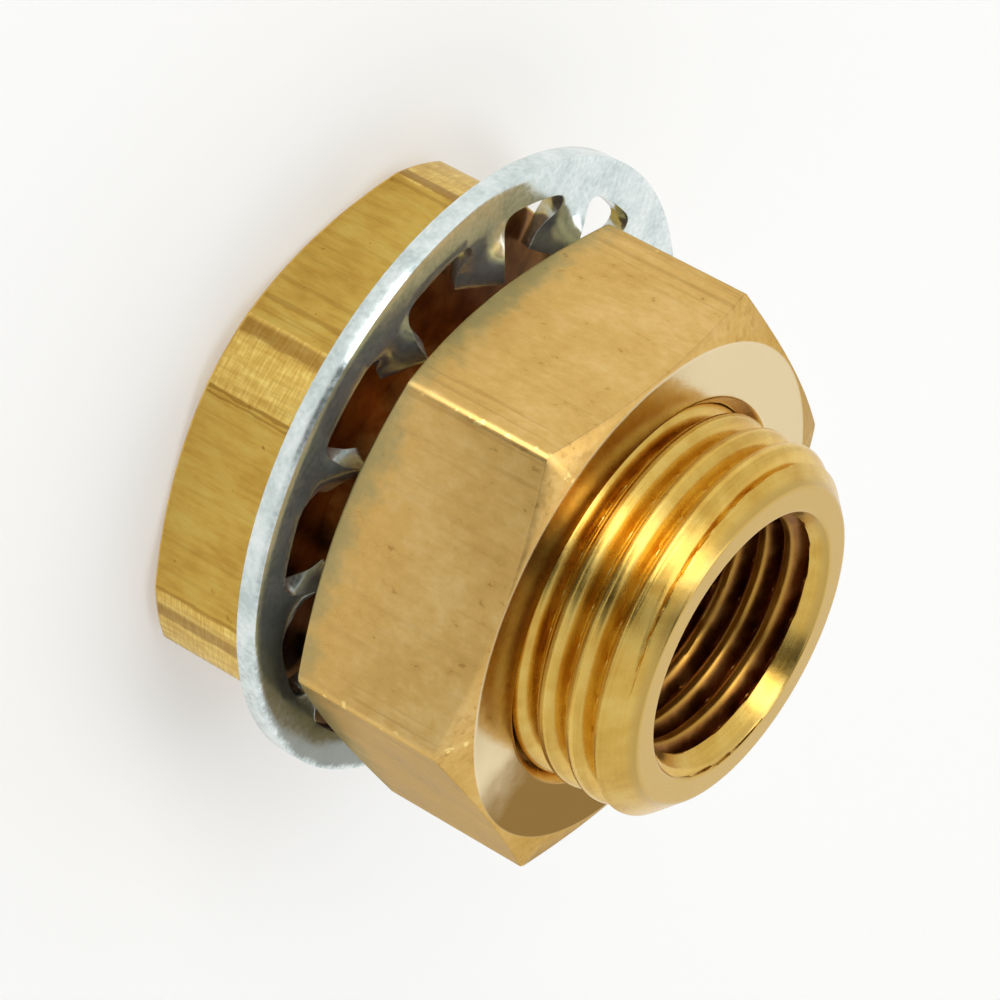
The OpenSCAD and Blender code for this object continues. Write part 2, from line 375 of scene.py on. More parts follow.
def sector_angles(count, breaks, offset=0.0):
    """Angles round a hexagonal piece: six equal sectors centred on its corners, each with
    columns at the given angles from the corner, in radians, and even steps between them."""
    marks = sorted({-math.pi / 6, 0.0, math.pi / 6} | {s * b for b in breaks for s in (-1, 1)})
    column = []
    for low, high in zip(marks, marks[1:]):
        steps = max(1, round((high - low) / (math.pi / 3) * count))
        column += [low + (high - low) * i / steps for i in range(steps)]
    return np.array([offset + k * math.pi / 3 + a for k in range(6) for a in column])


def hexagon_radius(angles, across_flats, corner_r, offset=0.0):
    """Distance from the axis to a hexagon whose corners are cut back to a circle."""
    from_corner = (angles - offset + math.pi / 6) % (math.pi / 3) - math.pi / 6
    flat = across_flats / 2 / np.cos(math.pi / 6 - np.abs(from_corner))
    return np.minimum(flat, corner_r)


def station(r, z, edge=0.0, step=None, cut=0, finish=0):
    """One ring of a turned profile. edge is how much its corner is broken; step, cut and finish
    are for the stretch from this ring to the next: row spacing, thread number, material slot."""
    return {"r": r, "z": z, "edge": edge, "step": step, "cut": cut, "finish": finish}


SUPPORT = 0.07  # distance in millimetres from a broken edge to the ring that keeps its face flat


def profile_rows(stations, angles):
    """Rings of (r, z), with corners broken and long stretches divided, round a closed profile."""
    ones = np.ones(len(angles))
    rings = [np.stack([s["r"] * ones, s["z"] * ones], 1) for s in stations]
    count = len(rings)
    rows = []
    for i, s in enumerate(stations):
        here, before, after = rings[i], rings[i - 1], rings[(i + 1) % count]
        if not s["edge"]:
            rows.append((here, s))
            continue
        ends = []
        for other in (before, after):
            away = other - here
            span = np.maximum(np.linalg.norm(away, axis=1, keepdims=True), 1e-6)
            ends.append(here + away / span * np.minimum(s["edge"], span * 0.45))
        middle = (ends[0] + ends[1]) / 2
        bevel = {**s, "step": None}
        rows += [(ends[0], bevel), (middle + (here - middle) * 0.42, bevel), (ends[1], s)]
    out = []
    for i, (ring, s) in enumerate(rows):
        following = rows[(i + 1) % len(rows)][0]
        reach = np.linalg.norm(following - ring, axis=1)
        if s["step"]:
            steps = max(1, math.ceil(reach.max() / s["step"]))
            shares = [k / steps for k in range(steps)]
        elif reach.min() > 6 * SUPPORT:
            shares = [0.0, SUPPORT / reach.max(), 1 - SUPPORT / reach.max()]
        else:
            shares = [0.0]
        for share in shares:
            out.append((ring + (following - ring) * share, s["cut"], s["finish"]))
    return out


def turned_mesh(name, stations, angles):
    """A closed ring-shaped mesh from a profile in millimetres, with the thread number of each
    vertex in the attribute "cut" and the material slot on each face."""
    rows = profile_rows(stations, angles)
    n_rows, n_cols = len(rows), len(angles)
    cosine, sine = np.cos(angles), np.sin(angles)
    vertices = np.concatenate([
        np.stack([ring[:, 0] * cosine, ring[:, 0] * sine, ring[:, 1]], 1) for ring, _, _ in rows
    ]) * MM
    cuts = np.repeat([cut for _, cut, _ in rows], n_cols)
    # a ring that ends a threaded stretch is cut with it
    for i in range(n_rows):
        if rows[i][1] == 0 and rows[i - 1][1]:
            cuts[i * n_cols:(i + 1) * n_cols] = rows[i - 1][1]
    i, j = np.meshgrid(np.arange(n_rows), np.arange(n_cols), indexing="ij")
    ni, nj = (i + 1) % n_rows, (j + 1) % n_cols
    corners = [i * n_cols + j, i * n_cols + nj, ni * n_cols + nj, ni * n_cols + j]
    faces = np.stack(corners, 2).reshape(-1, 4)
    mesh = bpy.data.meshes.new(name)
    mesh.from_pydata(vertices.tolist(), [], faces.tolist())
    finish = np.repeat([f for _, _, f in rows], n_cols).astype(np.int32)
    mesh.polygons.foreach_set("material_index", finish)
    attribute = mesh.attributes.new("cut", "INT", "POINT")
    attribute.data.foreach_set("value", cuts.astype(np.int32))
    mesh.update()
    return mesh


def point_outwards(mesh):
    """Turns every face outwards on a closed mesh."""
    work = bmesh.new()
    work.from_mesh(mesh)
    bmesh.ops.remove_doubles(work, verts=work.verts, dist=0.0005 * MM)
    bmesh.ops.recalc_face_normals(work, faces=work.faces)
    if work.calc_volume(signed=True) < 0:
        bmesh.ops.reverse_faces(work, faces=work.faces)
    work.to_mesh(mesh)
    work.free()


# ---------------------------------------------------------------- screw thread


THREAD_INPUTS = (
    ("Number", "NodeSocketInt"),
    ("Pitch", "NodeSocketFloat"),
    ("Crest Radius", "NodeSocketFloat"),
    ("Root Radius", "NodeSocketFloat"),
    ("Start Height", "NodeSocketFloat"),
    ("Taper", "NodeSocketFloat"),
    ("Crest Flat", "NodeSocketFloat"),
    ("Fullness", "NodeSocketFloat"),
    ("Inside", "NodeSocketBool"),
    ("Material Kept", "NodeSocketMaterial"),
)


def thread_cutter():
    """Geometry nodes that cut a right-hand screw thread about the Z axis into a turned blank.
    Start Height is the height of a crest at angle 0, and Taper the change of radius with height.
    Crest Flat is the flat share of crest and root. Fullness rounds the crest: 1 is a plain V."""
    tree = bpy.data.node_groups.new("Cut Screw Thread", "GeometryNodeTree")
    tree.interface.new_socket(name="Geometry", in_out="INPUT", socket_type="NodeSocketGeometry")
    for name, kind in THREAD_INPUTS:
        tree.interface.new_socket(name=name, in_out="INPUT", socket_type=kind)
    tree.interface.new_socket(name="Geometry", in_out="OUTPUT", socket_type="NodeSocketGeometry")
    given = add_node(tree, "NodeGroupInput").outputs

    position = add_node(tree, "GeometryNodeInputPosition").outputs["Position"]
    angle, radius, z = round_place(tree, position)
    height = minus(tree, z, given["Start Height"])
    turns = minus(
        tree, maths(tree, "DIVIDE", height, given["Pitch"]), maths(tree, "DIVIDE", angle, TURN))
    phase = maths(tree, "FRACT", turns)
    ridge = maths(tree, "ABSOLUTE", minus(tree, times(tree, phase, 2.0), 1.0))
    span = minus(tree, 1.0, times(tree, given["Crest Flat"], 2.0))
    rise = maths(tree, "DIVIDE", minus(tree, ridge, given["Crest Flat"]), span)
    straight = maths(tree, "MINIMUM", maths(tree, "MAXIMUM", rise, 0.0), 1.0)
    hollow = maths(tree, "POWER", minus(tree, 1.0, straight), given["Fullness"])
    depth = minus(tree, given["Crest Radius"], given["Root Radius"])
    raised = times(tree, depth, minus(tree, 1.0, hollow))
    slope = times(tree, height, given["Taper"])
    cut_r = plus(tree, plus(tree, given["Root Radius"], raised), slope)
    chosen = add_node(tree, "GeometryNodeSwitch", {"input_type": "FLOAT"}, {
        "Switch": given["Inside"],
        "False": maths(tree, "MINIMUM", radius, cut_r),
        "True": maths(tree, "MAXIMUM", radius, cut_r),
    }).outputs["Output"]
    place = add_node(tree, "ShaderNodeCombineXYZ", inputs={
        "X": times(tree, chosen, maths(tree, "COSINE", angle)),
        "Y": times(tree, chosen, maths(tree, "SINE", angle)),
        "Z": z,
    }).outputs["Vector"]
    number = add_node(
        tree, "GeometryNodeInputNamedAttribute", {"data_type": "INT"}, {"Name": "cut"},
    ).outputs["Attribute"]
    equal = {"data_type": "INT", "operation": "EQUAL"}
    chosen_rows = add_node(
        tree, "FunctionNodeCompare", equal, {"A": number, "B": given["Number"]},
    ).outputs["Result"]
    moved = add_node(tree, "GeometryNodeSetPosition", inputs={
        "Geometry": given["Geometry"], "Selection": chosen_rows, "Position": place,
    }).outputs["Geometry"]
    real = add_node(
        tree, "GeometryNodeRealizeInstances", inputs={"Geometry": moved},
    ).outputs["Geometry"]
    face_finish = add_node(tree, "GeometryNodeInputMaterialIndex").outputs["Material Index"]
    first_slot = add_node(
        tree, "FunctionNodeCompare", equal, {"A": face_finish, "B": 0},
    ).outputs["Result"]
    finished = add_node(tree, "GeometryNodeSetMaterial", inputs={
        "Geometry": real, "Selection": first_slot, "Material": given["Material Kept"],
    }).outputs["Geometry"]
    add_node(tree, "NodeGroupOutput", inputs={"Geometry": finished})
    return tree


def modifier_with(obj, tree, values):
    """Adds a geometry nodes modifier and sets its inputs by their identifiers."""
    modifier = obj.modifiers.new(tree.name, "NODES")
    modifier.node_group = tree
    for item in tree.interface.items_tree:
        if item.item_type == "SOCKET" and item.in_out == "INPUT" and item.name in values:
            modifier[item.identifier] = values[item.name]
    return modifier


def baked(obj, sharp_angle):
    """Turns an object's evaluated modifiers into its plain mesh, smooth but for its sharp edges."""
    graph = bpy.context.evaluated_depsgraph_get()
    mesh = bpy.data.meshes.new_from_object(obj.evaluated_get(graph), depsgraph=graph)
    mesh.name = obj.name
    obj.modifiers.clear()
    obj.data = mesh
    point_outwards(mesh)
    mesh.shade_smooth()
    mesh.set_sharp_from_angle(angle=math.radians(sharp_angle))
    return obj


def new_object(name, mesh, materials):
    obj = bpy.data.objects.new(name, mesh)
    bpy.context.scene.collection.objects.link(obj)
    for material in materials:
        mesh.materials.append(material)
    return obj


# ---------------------------------------------------------------- sizes and colours


def length(name, description, millimetres):
    return bpy.props.FloatProperty(
        name=name, description=description, default=millimetres * MM, unit="LENGTH", precision=5,
    )


def angle_property(name, description, degrees):
    return bpy.props.FloatProperty(
        name=name, description=description, default=math.radians(degrees), subtype="ANGLE",
    )


def hex_colour(name, description, value):
    return bpy.props.StringProperty(name=name, description=description, default=value)


def in_millimetres(size):
    """The lengths of one group of sizes."""
    kept = [p.identifier for p in size.bl_rna.properties if getattr(p, "unit", "") == "LENGTH"]
    return {name: getattr(size, name) / MM for name in kept}


class FittingSizes(bpy.types.PropertyGroup):
    """Sizes of the turned brass fitting."""

    head_height: length("Head Height", "Thickness of the hexagon head", 6.0)
    across_flats: length("Across Flats", "Width of the head across its flats", 26.0)
    corner_r: length("Corner Radius", "Radius that the head's corners are turned down to", 14.1)
    back_r: length("Back Radius", "Radius of the flat ring that the head stands on", 12.45)
    back_angle: angle_property("Back Chamfer", "Angle of the chamfer on the back of the head", 25)
    thread_r: length("Thread Radius", "Outside radius of the mounting thread", 9.525)
    thread_depth: length("Thread Depth", "Depth of the mounting thread", 0.88)
    pitch: length("Pitch", "Pitch of the mounting thread", 1.5875)
    crest_height: length("Crest Height", "Height of the thread's crest at angle 0", 23.44)
    relief_r: length("Relief Radius", "Radius of the groove behind the thread", 8.525)
    chamfer: length("End Chamfer", "Chamfer on the end of the shank", 1.37)
    mouth_r: length("Mouth Radius", "Radius of the ports' countersunk mouths", 6.92)
    mouth_depth: length("Mouth Depth", "Depth of the countersink", 1.09)
    port_r: length("Port Radius", "Radius of the ports at the foot of the countersink", 6.09)
    port_depth: length("Port Depth", "Depth of each port", 10.0)
    passage_r: length("Passage Radius", "Radius of the drilled passage between the ports", 5.55)
    pipe_pitch: length("Pipe Pitch", "Pitch of the pipe threads", 1.411)
    pipe_depth: length("Pipe Thread Depth", "Depth of the pipe threads", 0.9)
    pipe_crest: length("Pipe Crest", "Height of the shank's pipe thread's crest at angle 0", 20.0)


class NutSizes(bpy.types.PropertyGroup):
    """Sizes of the hexagon nut."""

    across_flats: length("Across Flats", "Width of the nut across its flats", 26.0)
    corner_r: length("Corner Radius", "Radius that the nut's sharp corners are worn to", 14.93)
    face_r: length("Face Radius", "Radius of the flat circle on the outer face", 12.77)
    face_angle: angle_property("Face Chamfer", "Angle of the chamfer round the outer face", 18)
    back_r: length("Back Radius", "Radius of the flat circle on the inner face", 12.8)
    back_angle: angle_property("Back Chamfer", "Angle of the chamfer round the inner face", 23)
    turn: angle_property("Turn", "Turn of the nut against the head", -9.3)
    bore_r: length("Bore Radius", "Radius of the nut's thread at its crests", 8.84)
    clearance: length("Thread Clearance", "Gap between the two threads", 0.08)
    mouth_r: length("Mouth Radius", "Radius of the countersunk mouths", 10.05)


class WasherSizes(bpy.types.PropertyGroup):
    """Sizes of the toothed lock washer."""

    outer_r: length("Outer Radius", "Outside radius", 16.15)
    root_r: length("Root Radius", "Radius of the roots between the teeth", 14.25)
    tip_r: length("Tip Radius", "Radius of the circle that the teeth reach in to", 11.0)
    thickness: length("Thickness", "Thickness of the sheet", 1.1)
    root_width: length("Tooth Width", "Width of a tooth beyond its root", 1.9)
    tip_width: length("Tip Width", "Width of a tooth at its tip", 2.4)
    fillet: length("Fillet", "Radius of the corners between teeth and rim", 1.08)
    edge: length("Edge", "Rounding of the stamped edges", 0.11)
    twist: angle_property("Twist", "Angle that each tooth is twisted by", 38)
    turn: angle_property("Turn", "Turn of the first tooth", 18.9)
    teeth: bpy.props.IntProperty(name="Teeth", description="Number of teeth", default=12, min=3)


class Finishes(bpy.types.PropertyGroup):
    """Colours of the metals and of the studio."""

    head_dark: hex_colour("Head Dark", "Drawn brass of the head, darker clouds", "#BA8F3E")
    head_mid: hex_colour("Head", "Drawn brass of the head", "#CCA74F")
    head_light: hex_colour("Head Light", "Drawn brass of the head, lighter clouds", "#D5BA62")
    head_streak_and_painted_band: hex_colour("Head Streak And Painted Band", "Fine streaks, and painted dark reflections beside the corners", "#85561A")
    corner_dark: hex_colour("Corner Dark", "Turned corners of the head, darker rings", "#CFA650")
    corner_mid: hex_colour("Corner", "Turned corners of the head", "#E0BC62")
    corner_light: hex_colour("Corner Light", "Turned corners of the head, lighter rings", "#F2D77C")
    speck: hex_colour("Speck", "Brown specks on the head", "#93501C")
    turned_dark: hex_colour("Turned Dark", "Turned brass, darker clouds", "#D3A74C")
    turned_mid: hex_colour("Turned", "Turned brass", "#DEB75A")
    turned_light: hex_colour("Turned Light", "Turned brass, lighter clouds", "#E6C46A")
    end_face: hex_colour("End Face", "Faced end of the shank", "#CBA95C")
    recess_shade_dark: hex_colour("Recess Shade Dark", "Brass with painted shade, darker clouds", "#7E5223")
    recess_shade_mid: hex_colour("Recess Shade", "Brass with painted shade", "#9A6630")
    recess_shade_light: hex_colour("Recess Shade Light", "Brass with painted shade, lighter clouds", "#B07E42")
    nut_dark: hex_colour("Nut Dark", "Nut, darker clouds", "#CEA55C")
    nut_mid: hex_colour("Nut", "Nut", "#DAB269")
    nut_light: hex_colour("Nut Light", "Nut, lighter clouds", "#E4C27F")
    nut_speck: hex_colour("Nut Speck", "Dull streaks and dents on the nut", "#A67C42")
    nut_stain: hex_colour("Nut Back Edge", "Grey-green towards the edge beside the washer", "#A3986A")
    edge_tint: hex_colour("Edge Tint", "What the nut reflects at a grazing look", "#D3C9B2")
    nut_corner: hex_colour("Nut Corner", "Rubbed corners and nicks of the nut", "#FBDD8E")
    nut_face: hex_colour("Nut Face", "Faced end of the nut, paler with painted sheen", "#EEDCB6")
    face_painted_shade: hex_colour("Face Painted Shade", "Brown painted shade on parts of the nut's face", "#8E6B3A")
    zinc_dark: hex_colour("Zinc Dark", "Zinc plate, darker clouds", "#C3D0CF")
    zinc_mid: hex_colour("Zinc", "Zinc plate", "#D8E3E1")
    zinc_light: hex_colour("Zinc Light", "Zinc plate, lighter clouds", "#EAF1F0")
    zinc_dull: hex_colour("Zinc Painted Shade", "Painted shade on the inner part of one side of the washer", "#6C6E60")
    floor: hex_colour("Floor", "Paper floor", "#FCFCFA")


PIPE_TAPER = 1 / 32  # change of a pipe thread's radius with its height
PIPE_FORM = {"Crest Flat": 0.04, "Fullness": 1.8, "Inside": True}
MOUNTING_FORM = {"Crest Flat": 0.03, "Fullness": 2.1, "Taper": 0.0}

# in millimetres: length of the cone behind a port, height under which the nut hides the thread,
# depth to which the port's thread can be seen from its mouth, and threads' gap to their blanks
DRILL_CONE = 0.25
HIDDEN_Z = 17.0
LOOK_IN = 4.2
CREST_OVER, CREST_UNDER = 0.001, 0.02


class TCN_OT_fitting(bpy.types.Operator):
    """Builds the turned fitting: hexagon head, threaded shank and its two pipe ports"""

    bl_idname = "tank_connector.fitting"
    bl_label = "Build Fitting"

    def execute(self, context):
        size = context.scene.tcn_fitting
        look = context.scene.tcn_finishes
        mm = in_millimetres(size)
        top = BODY_HIGH[2] / MM
        strip = math.pi / 6 - math.acos(mm["across_flats"] / 2 / mm["corner_r"])
        angles = sector_angles(30, [strip, strip + math.radians(0.5)])
        side_r = hexagon_radius(angles, mm["across_flats"], mm["corner_r"])
        cone_z = (side_r - mm["back_r"]) * math.tan(size.back_angle)
        thread_r, depth = mm["thread_r"], mm["port_depth"]
        deep_r = mm["port_r"] - (depth - mm["mouth_depth"]) * PIPE_TAPER
        look_r = mm["port_r"] - (LOOK_IN - mm["mouth_depth"]) * PIPE_TAPER
        step_z = depth + DRILL_CONE
        stations = [
            station(mm["mouth_r"], 0.0, 0.08, 0.12, 3, 1),
            station(mm["port_r"], mm["mouth_depth"], 0, 0.14, 3, 2),
            station(deep_r, depth, 0, None, 0, 2),
            station(mm["passage_r"], step_z, 0, None, 0, 2),
            station(mm["passage_r"], top - step_z, 0, None, 0, 2),
            station(deep_r, top - depth, 0, 0.14, 2, 2),
            station(look_r, top - LOOK_IN, 0, 0.07, 2, 2),
            station(mm["port_r"], top - mm["mouth_depth"], 0, 0.07, 2, 1),
            station(mm["mouth_r"], top, 0.08, None, 0, 1),
            station(thread_r - mm["chamfer"], top, 0.1, 0.06, 1, 1),
            station(thread_r, top - mm["chamfer"], 0, 0.055, 1, 1),
            station(thread_r, HIDDEN_Z, 0, 0.11, 1, 1),
            station(thread_r, mm["head_height"] + 2.2, 0, None, 0, 2),
            station(mm["relief_r"], mm["head_height"] + 1.2, 0, None, 0, 2),
            station(mm["relief_r"], mm["head_height"], 0, None, 0, 2),
            station(side_r, mm["head_height"], 0.12, None, 0, 0),
            station(side_r, cone_z, 0.1, None, 0, 1),
            station(mm["back_r"], 0.0, 0.1, None, 0, 1),
        ]
        mesh = turned_mesh("fitting", stations, angles)
        drawn = drawn_brass("Drawn brass bar", look, size.corner_r)
        turned = turned_brass("Turned brass", look, 0.25, BODY_HIGH[2])
        mouth_z = BODY_HIGH[2] - size.mouth_depth
        # the bores, the relief groove and the head's front face under the washer get painted shade
        recess_shade_brass = brass_with_painted_shade(
            "Brass with painted shade", look, size.port_r, PIPE_TAPER, mouth_z, BODY_HIGH[2] / 2)
        piece = new_object("fitting", mesh, [drawn, turned, recess_shade_brass])
        cutter = thread_cutter()
        modifier_with(piece, cutter, {
            "Number": 1, "Pitch": size.pitch, "Crest Radius": size.thread_r + CREST_OVER * MM,
            "Root Radius": size.thread_r - size.thread_depth, "Start Height": size.crest_height,
            "Inside": False, "Material Kept": drawn, **MOUNTING_FORM,
        })
        port_at_crest = size.port_r - (mouth_z - size.pipe_crest) * PIPE_TAPER
        low_crest = BODY_HIGH[2] - size.pipe_crest
        for number, crest_z, taper in (
            (2, size.pipe_crest, PIPE_TAPER), (3, low_crest, -PIPE_TAPER),
        ):
            modifier_with(piece, cutter, {
                "Number": number, "Pitch": size.pipe_pitch, "Taper": taper,
                "Crest Radius": port_at_crest - CREST_UNDER * MM,
                "Root Radius": port_at_crest + size.pipe_depth,
                "Start Height": crest_z + size.pipe_pitch / 2, "Material Kept": drawn, **PIPE_FORM,
            })
        baked(piece, 38)
        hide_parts("fitting_body")
        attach(piece, "fitting")
        return {"FINISHED"}


class TCN_OT_nut(bpy.types.Operator):
    """Builds the hexagon nut with its chamfers and its own screw thread"""

    bl_idname = "tank_connector.nut"
    bl_label = "Build Nut"

    def execute(self, context):
        size = context.scene.tcn_nut
        fitting = context.scene.tcn_fitting
        look = context.scene.tcn_finishes
        mm = in_millimetres(size)
        low, high = NUT_LOW[2] / MM, NUT_HIGH[2] / MM
        half = mm["across_flats"] / 2
        worn = math.pi / 6 - math.acos(half / mm["corner_r"])
        angles = sector_angles(40, [worn, worn + math.radians(0.6)], size.turn)
        side_r = hexagon_radius(angles, mm["across_flats"], mm["corner_r"], size.turn)
        top_z = high - (side_r - mm["face_r"]) * math.tan(size.face_angle)
        back_z = low + (side_r - mm["back_r"]) * math.tan(size.back_angle)
        mouth = mm["mouth_r"] - mm["bore_r"]
        stations = [
            station(mm["mouth_r"], low, 0.06, 0.1, 1, 1),
            station(mm["bore_r"], low + mouth, 0, 0.1, 1, 1),
            station(mm["bore_r"], high - mouth, 0, 0.1, 1, 1),
            station(mm["mouth_r"], high, 0.08, None, 0, 0),
            station(mm["face_r"], high, 0.05, None, 0, 0),
            station(side_r, top_z, 0.05, None, 0, 0),
            station(side_r, back_z, 0.06, None, 0, 0),
            station(mm["back_r"], low, 0.1, None, 0, 0),
        ]
        mesh = turned_mesh("nut", stations, angles)
        drawn = tumbled_brass("Tumbled brass", look, size.turn, NUT_LOW[2], NUT_HIGH[2])
        turned = bpy.data.materials["Turned brass"]
        piece = new_object("nut", mesh, [drawn, turned])
        gap = size.clearance
        modifier_with(piece, thread_cutter(), {
            "Number": 1, "Pitch": fitting.pitch, "Crest Radius": fitting.thread_r + gap,
            "Root Radius": fitting.thread_r - fitting.thread_depth + gap,
            "Start Height": fitting.crest_height, "Inside": True, "Material Kept": drawn,
            **MOUNTING_FORM,
        })
        baked(piece, 38)
        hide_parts("hex_nut")
        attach(piece, "nut")
        return {"FINISHED"}


def tooth_sector(mm, twist, teeth):
    """One tooth with its share of the rim, as a sheet at the middle of its thickness."""
    half_sector = math.pi / teeth
    steps = 10
    root_r, tip_r, fillet = mm["root_r"], mm["tip_r"], mm["fillet"]
    reach = root_r - tip_r

    def width(s):
        flare = 0.0
        if s < fillet:
            flare = fillet - math.sqrt(max(0.0, fillet ** 2 - (fillet - s) ** 2))
        return mm["root_width"] + (mm["tip_width"] - mm["root_width"]) * s / reach + 2 * flare

    def turn_at(s):
        q = min(1.0, max(0.0, s / (reach * 0.75)))
        return -twist * q * q * (3 - 2 * q)

    across = [(i / steps - 0.5) for i in range(steps + 1)]
    root_half = math.asin(width(0.0) / 2 / root_r)
    gap_steps = 6
    gap = [root_half + (half_sector - root_half) * i / gap_steps for i in range(1, gap_steps + 1)]
    tooth = [math.asin(width(0.0) * q / root_r) for q in across]
    columns = [-a for a in reversed(gap)] + tooth + gap
    points, faces = [], []
    radii = [mm["outer_r"], mm["outer_r"] - 0.5, root_r + 0.7, root_r]
    for r in radii:
        points += [(r * math.cos(a), r * math.sin(a), 0.0) for a in columns]
    n = len(columns)
    for start in range(0, (len(radii) - 1) * n, n):
        faces += [(j, j + 1, n + j + 1, n + j) for j in range(start, start + n - 1)]
    previous = [(len(radii) - 1) * n + gap_steps + i for i in range(steps + 1)]
    fillet_rows = [fillet * (1 - math.cos(math.pi / 2 * i / 6)) for i in range(1, 7)]
    rows = fillet_rows + [fillet + (reach - fillet) * i / 10 for i in range(1, 11)]
    for s in rows:
        w, a = width(s), turn_at(s)
        arc = max(0.0, 1 - s / fillet)
        current = []
        for q in across:
            y = w * q
            x = root_r - s - (root_r - math.sqrt(root_r ** 2 - y ** 2)) * arc
            current.append(len(points))
            points.append((x, y * math.cos(a), y * math.sin(a)))
        faces += [(previous[i], previous[i + 1], current[i + 1], current[i]) for i in range(steps)]
        previous = current
    mesh = bpy.data.meshes.new("tooth_sector")
    mesh.from_pydata([(x * MM, y * MM, z * MM) for x, y, z in points], [], faces)
    return mesh


def ring_of_teeth():
    """Geometry nodes that set copies of one sector round a circle and weld them to one ring."""
    tree = bpy.data.node_groups.new("Ring of Teeth", "GeometryNodeTree")
    for name, kind in (
        ("Geometry", "NodeSocketGeometry"), ("Count", "NodeSocketInt"),
        ("First Turn", "NodeSocketFloat"), ("Centre", "NodeSocketVector"),
        ("Weld", "NodeSocketFloat"), ("Material", "NodeSocketMaterial"),
    ):
        tree.interface.new_socket(name=name, in_out="INPUT", socket_type=kind)
    tree.interface.new_socket(name="Geometry", in_out="OUTPUT", socket_type="NodeSocketGeometry")
    given = add_node(tree, "NodeGroupInput").outputs
    line = add_node(tree, "GeometryNodeMeshLine", {"mode": "OFFSET"}, {
        "Offset": (0.0, 0.0, 0.0), "Count": given["Count"],
    }).outputs["Mesh"]
    index = add_node(tree, "GeometryNodeInputIndex").outputs["Index"]
    share = maths(tree, "DIVIDE", TURN, given["Count"])
    turn = maths(tree, "MULTIPLY_ADD", index, share, given["First Turn"])
    rotation = add_node(tree, "ShaderNodeCombineXYZ", inputs={"Z": turn}).outputs["Vector"]
    ring = add_node(tree, "GeometryNodeInstanceOnPoints", inputs={
        "Points": line, "Instance": given["Geometry"], "Rotation": rotation,
    }).outputs["Instances"]
    for kind, inputs in (
        ("GeometryNodeRealizeInstances", {}),
        ("GeometryNodeMergeByDistance", {"Distance": given["Weld"]}),
        ("GeometryNodeTransform", {"Translation": given["Centre"]}),
        ("GeometryNodeSetMaterial", {"Material": given["Material"]}),
    ):
        ring = add_node(tree, kind, inputs={"Geometry": ring, **inputs}).outputs["Geometry"]
    add_node(tree, "NodeGroupOutput", inputs={"Geometry": ring})
    return tree


class TCN_OT_washer(bpy.types.Operator):
    """Builds the lock washer: a flat rim with twisted teeth pointing inwards"""

    bl_idname = "tank_connector.washer"
    bl_label = "Build Lock Washer"

    def execute(self, context):
        size = context.scene.tcn_washer
        look = context.scene.tcn_finishes
        mm = in_millimetres(size)
        mesh = tooth_sector(mm, size.twist, size.teeth)
        centre = (Vector(WASHER_LOW) + Vector(WASHER_HIGH)) / 2
        zinc = zinc_plate("Bright zinc plate", look, 0.19, centre, size.outer_r - 0.25 * MM)
        piece = new_object("lock_ring", mesh, [])
        modifier_with(piece, ring_of_teeth(), {
            "Count": size.teeth, "First Turn": size.turn, "Centre": tuple(centre),
            "Weld": 0.002 * MM, "Material": zinc,
        })
        wall = piece.modifiers.new("Sheet", "SOLIDIFY")
        wall.thickness = size.thickness
        wall.offset = 0.0
        wall.use_even_offset = False
        edges = piece.modifiers.new("Stamped edges", "BEVEL")
        edges.width = size.edge
        edges.segments = 2
        edges.limit_method = "ANGLE"
        edges.angle_limit = math.radians(50)
        baked(piece, 60)
        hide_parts("lock_washer")
        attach(piece, "washer")
        return {"FINISHED"}


# ---------------------------------------------------------------- studio


class StudioSettings(bpy.types.PropertyGroup):
    """Camera and lights."""

    position: bpy.props.FloatVectorProperty(
        name="Camera Position", description="Where the camera stands",
        default=(-0.0946599, -0.1851447, 0.1103174), subtype="TRANSLATION",
    )
    azimuth: angle_property(
        "Azimuth", "Direction that the camera looks in, from +Y towards +X", 26.930)
    elevation: angle_property("Elevation", "How far the camera looks down", 25.785)
    roll: angle_property("Roll", "Turn of the camera about its own line of sight", 118.696)
    lens: bpy.props.FloatProperty(
        name="Lens", description="Focal length in millimetres", default=175.29,
    )
    lamp_height: length("Lamp Height", "Height of the lamp and of the dark card", 400.0)
    lamp_width: length("Lamp Width", "Width of the lamp", 95.0)
    lamp_brightness: bpy.props.FloatProperty(
        name="Lamp Brightness", description="Brightness of the lamp, where 1 is white", default=2.0,
    )
    card_near: length("Card Near", "Distance of the floor cards' near edge from the axis", 40.0)
    card_far: length("Card Far", "Distance of the floor cards' far edge from the axis", 120.0)
    card_lift: length("Card Lift", "Height of the floor cards over the floor", 0.4)
    room_light: bpy.props.FloatProperty(
        name="Room Light", description="Brightness of the room, where 1 is white", default=0.8,
    )


def look_along(azimuth, elevation, roll):
    """Rotation of a camera or lamp that looks along a direction, turned about it by roll."""
    level = math.cos(elevation)
    forward = Vector((math.sin(azimuth) * level, math.cos(azimuth) * level, -math.sin(elevation)))
    right = forward.cross(Vector((0, 0, 1))).normalized()
    up = right.cross(forward)
    turned_right = right * math.cos(roll) + up * math.sin(roll)
    turned_up = up * math.cos(roll) - right * math.sin(roll)
    return Matrix((turned_right, turned_up, -forward)).transposed()


def overhead(settings, forwards, sideways):
    """A place level with the lamp, as shares of its height: towards the camera and to its right."""
    place = sky_direction(settings, 0, 0) * forwards + sky_direction(settings, -90, 0) * sideways
    return (place + Vector((0, 0, 1))) * settings.lamp_height


# places over the part, as overhead() takes them: the lamp's two ends, the dark card's corners
LAMP_ENDS = ((0.62, -0.42), (-0.42, -0.15))
CARD_CORNERS = ((-0.35, -0.085), (-0.35, 0.2), (0.33, 0.14), (0.33, -0.11))


